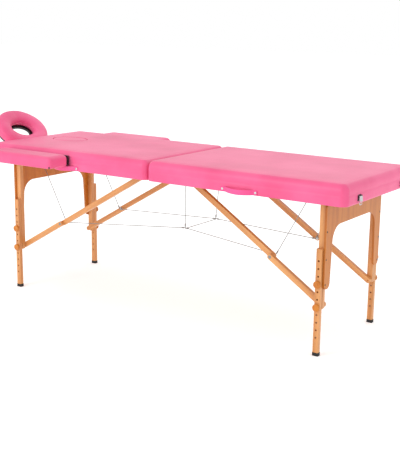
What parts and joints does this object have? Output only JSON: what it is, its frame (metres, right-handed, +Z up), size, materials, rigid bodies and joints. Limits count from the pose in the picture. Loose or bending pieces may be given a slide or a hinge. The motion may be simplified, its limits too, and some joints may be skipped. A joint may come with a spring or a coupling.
{
  "type": "folding treatment bed",
  "caption": "Portable two-section folding treatment bed with padded top, folding wooden leg frames, struts and cables, armrests and a tilting face cushion.",
  "frame": {"origin": "on the floor under the middle of the centre fold", "axes": "+X towards the foot end, +Y across the bed towards its rear side, +Z up"},
  "size_m": [2.0914, 0.898, 0.8229],
  "materials": {
    "leather": "smooth upholstery vinyl, satin",
    "beech": "clear varnished beech",
    "plywood": "varnished plywood",
    "knob_wood": "varnished turned beech",
    "rubber": "matte moulded rubber",
    "cable": "plastic coated steel wire",
    "black_plastic": "black moulded plastic",
    "latch_steel": "black plated steel",
    "steel": "zinc plated steel"
  },
  "bodies": {
    "head_half": {"head_side_rails": "beech", "head_cross_rails": "beech", "head_deck": "plywood", "head_pad": "leather", "head_apron": "leather", "head_pivot_rods": "steel", "head_handle": "leather", "head_hinge_leaves": "steel", "latch_catches": "latch_steel", "head_cables": "cable"},
    "foot_half": {"foot_side_rails": "beech", "foot_cross_rails": "beech", "foot_deck": "plywood", "foot_pad": "leather", "foot_apron": "leather", "foot_pivot_rods": "steel", "foot_handle": "leather", "foot_hinge_leaves": "steel", "latch_bases": "latch_steel", "foot_cables": "cable"},
    "head_leg_frame": {"head_upper_legs": "beech", "head_arch_panel": "plywood", "head_arch_screws": "steel"},
    "head_lower_links": {"head_lower_links": "beech", "head_elbow_bolts": "steel"},
    "head_upper_links": {"head_upper_links": "beech"},
    "foot_leg_frame": {"foot_upper_legs": "beech", "foot_arch_panel": "plywood", "foot_arch_screws": "steel"},
    "foot_lower_links": {"foot_lower_links": "beech", "foot_elbow_bolts": "steel"},
    "foot_upper_links": {"foot_upper_links": "beech"},
    "head_front_lower_leg": {"head_front_lower_leg": "beech", "head_front_foot": "rubber"},
    "head_front_lower_knob": {"head_front_lower_knob": "knob_wood"},
    "head_front_upper_knob": {"head_front_upper_knob": "knob_wood"},
    "head_rear_lower_leg": {"head_rear_lower_leg": "beech", "head_rear_foot": "rubber"},
    "head_rear_lower_knob": {"head_rear_lower_knob": "knob_wood"},
    "head_rear_upper_knob": {"head_rear_upper_knob": "knob_wood"},
    "foot_front_lower_leg": {"foot_front_lower_leg": "beech", "foot_front_foot": "rubber"},
    "foot_front_lower_knob": {"foot_front_lower_knob": "knob_wood"},
    "foot_front_upper_knob": {"foot_front_upper_knob": "knob_wood"},
    "foot_rear_lower_leg": {"foot_rear_lower_leg": "beech", "foot_rear_foot": "rubber"},
    "foot_rear_lower_knob": {"foot_rear_lower_knob": "knob_wood"},
    "foot_rear_upper_knob": {"foot_rear_upper_knob": "knob_wood"},
    "headrest_base": {"headrest_base": "black_plastic"},
    "headrest": {"headrest_plate": "black_plastic", "headrest_cushion": "leather"},
    "headrest_lever": {"headrest_cam_lever": "black_plastic"},
    "front_armrest": {"front_armrest_cushion": "leather", "front_armrest_frame": "black_plastic"},
    "rear_armrest": {"rear_armrest_cushion": "leather", "rear_armrest_frame": "black_plastic"},
    "face_plug": {"face_hole_plug": "leather"},
    "front_latch": {"front_latch_lever": "latch_steel"},
    "rear_latch": {"rear_latch_lever": "latch_steel"}
  },
  "joints": [
    {"name": "centre_fold", "type": "hinge", "parent": "head_half", "child": "foot_half", "pos_m": [0, 0, 0.613], "axis": [0, 1, 0], "range_deg": [0, 180], "deforming": ["head_cables", "foot_cables"]},
    {"name": "head_leg_fold", "type": "hinge", "parent": "head_half", "child": "head_leg_frame", "pos_m": [-0.806, 0, 0.645], "axis": [0, 1, 0], "range_deg": [-90, 0]},
    {"name": "head_upper_link_turn", "type": "hinge", "parent": "head_half", "child": "head_upper_links", "pos_m": [-0.06, 0, 0.631], "axis": [0, 1, 0], "range_deg": [0, 32.69]},
    {"name": "head_lower_link_turn", "type": "hinge", "parent": "head_leg_frame", "child": "head_lower_links", "pos_m": [-0.806, 0, 0.2], "axis": [0, 1, 0], "range_deg": [-57.33, 0]},
    {"name": "foot_leg_fold", "type": "hinge", "parent": "foot_half", "child": "foot_leg_frame", "pos_m": [0.806, 0, 0.645], "axis": [0, 1, 0], "range_deg": [0, 90]},
    {"name": "foot_upper_link_turn", "type": "hinge", "parent": "foot_half", "child": "foot_upper_links", "pos_m": [0.134, 0, 0.6355], "axis": [0, 1, 0], "range_deg": [-35.35, 0]},
    {"name": "foot_lower_link_turn", "type": "hinge", "parent": "foot_leg_frame", "child": "foot_lower_links", "pos_m": [0.806, 0, 0.2], "axis": [0, 1, 0], "range_deg": [0, 54.67]},
    {"name": "head_front_leg_height", "type": "slide", "parent": "head_leg_frame", "child": "head_front_lower_leg", "axis": [0, 0, -1], "range_m": [-0.093, 0.093]},
    {"name": "head_front_lower_knob_turn", "type": "hinge", "parent": "head_leg_frame", "child": "head_front_lower_knob", "pos_m": [-0.806, 0, 0.2], "axis": [0, -1, 0], "continuous": true},
    {"name": "head_front_upper_knob_turn", "type": "hinge", "parent": "head_leg_frame", "child": "head_front_upper_knob", "pos_m": [-0.806, 0, 0.293], "axis": [0, -1, 0], "continuous": true},
    {"name": "head_rear_leg_height", "type": "slide", "parent": "head_leg_frame", "child": "head_rear_lower_leg", "axis": [0, 0, -1], "range_m": [-0.093, 0.093]},
    {"name": "head_rear_lower_knob_turn", "type": "hinge", "parent": "head_leg_frame", "child": "head_rear_lower_knob", "pos_m": [-0.806, 0, 0.2], "axis": [0, 1, 0], "continuous": true},
    {"name": "head_rear_upper_knob_turn", "type": "hinge", "parent": "head_leg_frame", "child": "head_rear_upper_knob", "pos_m": [-0.806, 0, 0.293], "axis": [0, 1, 0], "continuous": true},
    {"name": "foot_front_leg_height", "type": "slide", "parent": "foot_leg_frame", "child": "foot_front_lower_leg", "axis": [0, 0, -1], "range_m": [-0.093, 0.093]},
    {"name": "foot_front_lower_knob_turn", "type": "hinge", "parent": "foot_leg_frame", "child": "foot_front_lower_knob", "pos_m": [0.806, 0, 0.2], "axis": [0, -1, 0], "continuous": true},
    {"name": "foot_front_upper_knob_turn", "type": "hinge", "parent": "foot_leg_frame", "child": "foot_front_upper_knob", "pos_m": [0.806, 0, 0.293], "axis": [0, -1, 0], "continuous": true},
    {"name": "foot_rear_leg_height", "type": "slide", "parent": "foot_leg_frame", "child": "foot_rear_lower_leg", "axis": [0, 0, -1], "range_m": [-0.093, 0.093]},
    {"name": "foot_rear_lower_knob_turn", "type": "hinge", "parent": "foot_leg_frame", "child": "foot_rear_lower_knob", "pos_m": [0.806, 0, 0.2], "axis": [0, 1, 0], "continuous": true},
    {"name": "foot_rear_upper_knob_turn", "type": "hinge", "parent": "foot_leg_frame", "child": "foot_rear_upper_knob", "pos_m": [0.806, 0, 0.293], "axis": [0, 1, 0], "continuous": true},
    {"name": "headrest_pull_out", "type": "slide", "parent": "head_half", "child": "headrest_base", "axis": [-1, 0, 0], "range_m": [0, 0.09]},
    {"name": "headrest_tilt", "type": "hinge", "parent": "headrest_base", "child": "headrest", "pos_m": [-1.03, 0, 0.648], "axis": [0, 1, 0], "range_deg": [-40, 0]},
    {"name": "headrest_lever_turn", "type": "hinge", "parent": "headrest_base", "child": "headrest_lever", "pos_m": [-1.03, 0, 0.648], "axis": [0, 1, 0], "range_deg": [-60, 0]},
    {"name": "front_armrest_pull_out", "type": "slide", "parent": "head_half", "child": "front_armrest", "axis": [0, -1, 0], "range_m": [0, 0.06]},
    {"name": "rear_armrest_pull_out", "type": "slide", "parent": "head_half", "child": "rear_armrest", "axis": [0, 1, 0], "range_m": [0, 0.06]},
    {"name": "face_plug_lift", "type": "slide", "parent": "head_half", "child": "face_plug", "axis": [0, 0, 1], "range_m": [0, 0.08]},
    {"name": "front_latch_turn", "type": "hinge", "parent": "foot_half", "child": "front_latch", "pos_m": [0.936, -0.2, 0.645], "axis": [0, 1, 0], "range_deg": [-120, 0]},
    {"name": "rear_latch_turn", "type": "hinge", "parent": "foot_half", "child": "rear_latch", "pos_m": [0.936, 0.2, 0.645], "axis": [0, 1, 0], "range_deg": [-120, 0]}
  ],
  "couplings": [
    {"joint": "head_leg_fold", "follows": "centre_fold", "ratio": -0.5},
    {"joint": "head_upper_link_turn", "follows": "centre_fold", "ratio": 0.18156},
    {"joint": "head_lower_link_turn", "follows": "centre_fold", "ratio": -0.31844},
    {"joint": "foot_leg_fold", "follows": "centre_fold", "ratio": 0.5},
    {"joint": "foot_upper_link_turn", "follows": "centre_fold", "ratio": -0.19635},
    {"joint": "foot_lower_link_turn", "follows": "centre_fold", "ratio": 0.30365}
  ]
}
